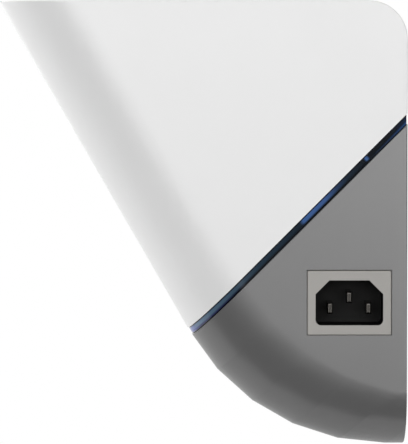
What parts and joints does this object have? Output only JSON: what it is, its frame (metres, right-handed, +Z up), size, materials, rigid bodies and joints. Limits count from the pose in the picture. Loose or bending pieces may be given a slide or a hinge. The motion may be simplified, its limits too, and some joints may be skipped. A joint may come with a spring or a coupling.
{
  "type": "mesh wifi node",
  "caption": "Wall-hung mesh wifi node: white wedge cover over a grey housing, a dark blue light band along the slanted seam, and a mains inlet in the side.",
  "frame": {"origin": "middle of the flat back, on the wall's face", "axes": "+Z up, +Y into the wall, so the front looks along -Y, and +X towards the side with the mains inlet"},
  "size_m": [0.1412, 0.1495, 0.1634],
  "materials": {
    "gold_plated": "gold plated",
    "dark_grey_moulded_ABS": "dark grey moulded ABS",
    "zinc_plated_steel": "zinc plated steel",
    "brass_nickel_flashed": "brass, nickel flashed",
    "black_epoxy_package": "black epoxy package",
    "sleeved_aluminium_can": "sleeved aluminium can",
    "galvanised_sheet_steel": "galvanised sheet steel",
    "black_pvc": "black pvc",
    "nickel_plated_brass": "nickel plated brass",
    "green_and_yellow_pvc": "green and yellow pvc",
    "glass_tube": "glass tube",
    "extruded_aluminium": "extruded aluminium",
    "beige_grey_moulded_trim": "beige grey moulded trim",
    "black_moulded_polyamide": "black moulded polyamide",
    "nickel_plated_steel": "nickel plated steel",
    "white_flexible_circuit": "white flexible circuit",
    "lamp_package": "lamp package",
    "black_solder_mask": "black solder mask",
    "dark_blue_tinted_polycarbonate": "dark blue tinted polycarbonate",
    "ferrite": "ferrite",
    "brown_pvc": "brown pvc",
    "grey_moulded_ABS_fine_satin": "grey moulded ABS, fine satin",
    "green_solder_mask": "green solder mask",
    "green_nylon": "green nylon",
    "blue_pvc": "blue pvc",
    "light_grey_moulded_ABS": "light grey moulded ABS",
    "white_polyester_ribbon": "white polyester ribbon",
    "nylon": "nylon",
    "tinned_steel_cans": "tinned steel cans",
    "dark_moulded_acetal": "dark moulded acetal",
    "tan_laminate": "tan laminate",
    "silicone_pad": "silicone pad",
    "yellow_polyester_tape": "yellow polyester tape",
    "white_moulded_ABS_fine_satin": "white moulded ABS, fine satin"
  },
  "bodies": {
    "casing": {"aerial_sockets": "gold_plated", "back_plate": "dark_grey_moulded_ABS", "board_screws": "zinc_plated_steel", "board_standoffs": "brass_nickel_flashed", "bridge_rectifier": "black_epoxy_package", "bulk_capacitor": "sleeved_aluminium_can", "chassis_tray": "galvanised_sheet_steel", "dc_lead": "black_pvc", "earth_blade": "nickel_plated_brass", "earth_screw": "zinc_plated_steel", "earth_wire": "green_and_yellow_pvc", "fuse": "glass_tube", "heatsink": "extruded_aluminium", "inlet_bezel": "beige_grey_moulded_trim", "inlet_body": "black_moulded_polyamide", "lan_jack_1_contacts": "gold_plated", "lan_jack_1_insert": "black_moulded_polyamide", "lan_jack_1_shell": "nickel_plated_steel", "lan_jack_2_contacts": "gold_plated", "lan_jack_2_insert": "black_moulded_polyamide", "lan_jack_2_shell": "nickel_plated_steel", "led_strip": "white_flexible_circuit", "leds": "lamp_package", "left_aerial": "black_solder_mask", "left_aerial_lead": "black_pvc", "light_ring": "dark_blue_tinted_polycarbonate", "line_choke": "ferrite", "live_blade": "nickel_plated_brass", "live_wire": "brown_pvc", "lower_housing": "grey_moulded_ABS_fine_satin", "main_board": "green_solder_mask", "mains_terminal": "green_nylon", "memory_chips": "black_epoxy_package", "neutral_blade": "nickel_plated_brass", "neutral_wire": "blue_pvc", "output_capacitors": "sleeved_aluminium_can", "pair_switch": "black_moulded_polyamide", "plate_screws": "zinc_plated_steel", "port_board": "green_solder_mask", "port_board_screws": "zinc_plated_steel", "port_ribbon": "white_polyester_ribbon", "power_sockets": "nylon", "processor": "black_epoxy_package", "radio_shields": "tinned_steel_cans", "reset_switch": "black_moulded_polyamide", "ribbon_sockets": "nylon", "right_aerial": "black_solder_mask", "right_aerial_lead": "black_pvc", "supply_board": "tan_laminate", "supply_heatsink": "extruded_aluminium", "supply_standoffs": "nylon", "supply_switch": "black_epoxy_package", "thermal_pad": "silicone_pad", "transformer_core": "ferrite", "transformer_winding": "yellow_polyester_tape", "tray_screws": "zinc_plated_steel", "upper_cover": "white_moulded_ABS_fine_satin", "x_capacitor": "yellow_polyester_tape"},
    "pair_button": {"pair_button": "light_grey_moulded_ABS"},
    "reset_button": {"reset_button": "dark_moulded_acetal"}
  },
  "joints": [
    {"name": "pair_press", "type": "slide", "parent": "casing", "child": "pair_button", "axis": [1, 0, 0], "range_m": [0, 0.0008], "stiffness_N_per_m": 1500, "springref_m": -0.0005},
    {"name": "reset_press", "type": "slide", "parent": "casing", "child": "reset_button", "axis": [1, 0, 0], "range_m": [0, 0.0003], "stiffness_N_per_m": 1500, "springref_m": -0.0005}
  ]
}
